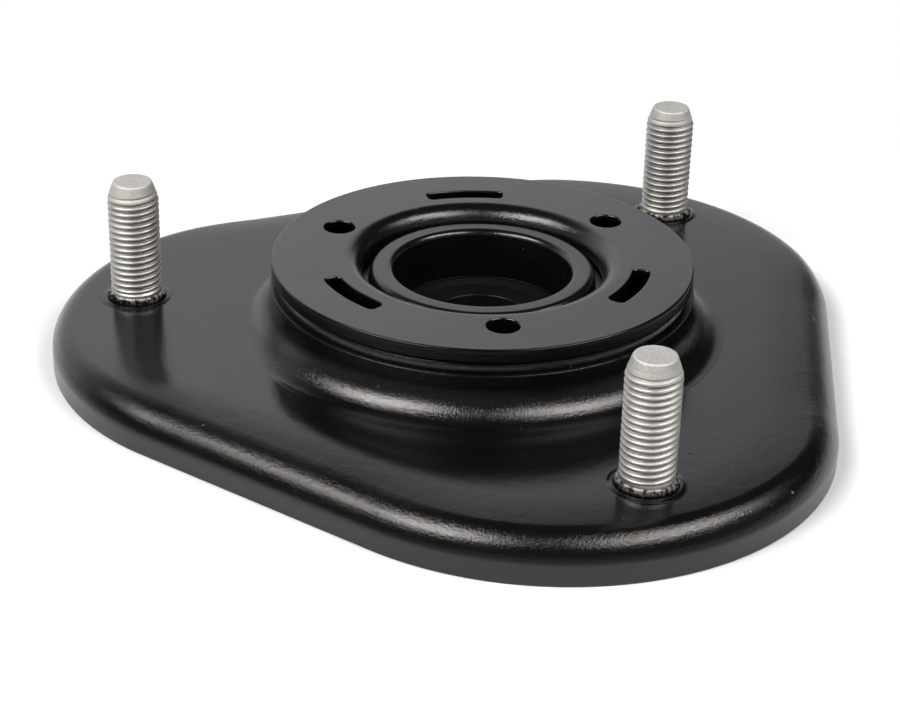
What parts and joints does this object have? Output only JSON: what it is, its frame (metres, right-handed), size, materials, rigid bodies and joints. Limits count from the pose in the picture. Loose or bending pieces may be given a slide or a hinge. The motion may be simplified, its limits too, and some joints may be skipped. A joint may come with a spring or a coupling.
{
  "type": "strut mount",
  "caption": "Upper strut mount: pressed rounded-triangle plate with upright studs, a raised hub under a slotted disc, and a sealed ball bearing in rubber for the strut rod.",
  "frame": {"origin": "on the hub axis and the rod bore's axis, level with the plate's top face", "axes": "+Z along the hub axis and the studs, away from the strut; +Y from the axis towards the first stud"},
  "size_m": [0.1598, 0.1528, 0.034],
  "materials": {
    "black_paint": "semi-gloss",
    "stud_steel": "satin",
    "plain_steel": "satin",
    "bearing_steel": "polished",
    "cage_metal": "satin",
    "rubber": "matte"
  },
  "bodies": {
    "mount": {"base_plate": "black_paint", "outer_shell": "black_paint", "top_disc": "black_paint", "insulator": "rubber", "bearing_housing": "black_paint", "bearing_retainer": "plain_steel", "outer_race": "bearing_steel", "upper_seal": "rubber", "lower_seal": "rubber", "stud_1": "stud_steel", "stud_2": "stud_steel", "stud_3": "stud_steel"},
    "rod_race": {"inner_race": "bearing_steel"},
    "ball_set": {"ball_cage": "cage_metal", "ball_1": "bearing_steel", "ball_2": "bearing_steel", "ball_3": "bearing_steel", "ball_4": "bearing_steel", "ball_5": "bearing_steel", "ball_6": "bearing_steel", "ball_7": "bearing_steel", "ball_8": "bearing_steel", "ball_9": "bearing_steel", "ball_10": "bearing_steel"}
  },
  "joints": [
    {"name": "rod_swivel", "type": "hinge", "parent": "mount", "child": "rod_race", "pos_m": [0, 0, -0.0031], "axis": [0, 0, 1], "continuous": true},
    {"name": "cage_roll", "type": "hinge", "parent": "mount", "child": "ball_set", "pos_m": [0, 0, -0.0031], "axis": [0, 0, 1], "continuous": true}
  ],
  "couplings": [
    {"joint": "cage_roll", "follows": "rod_swivel", "ratio": 0.41525}
  ]
}
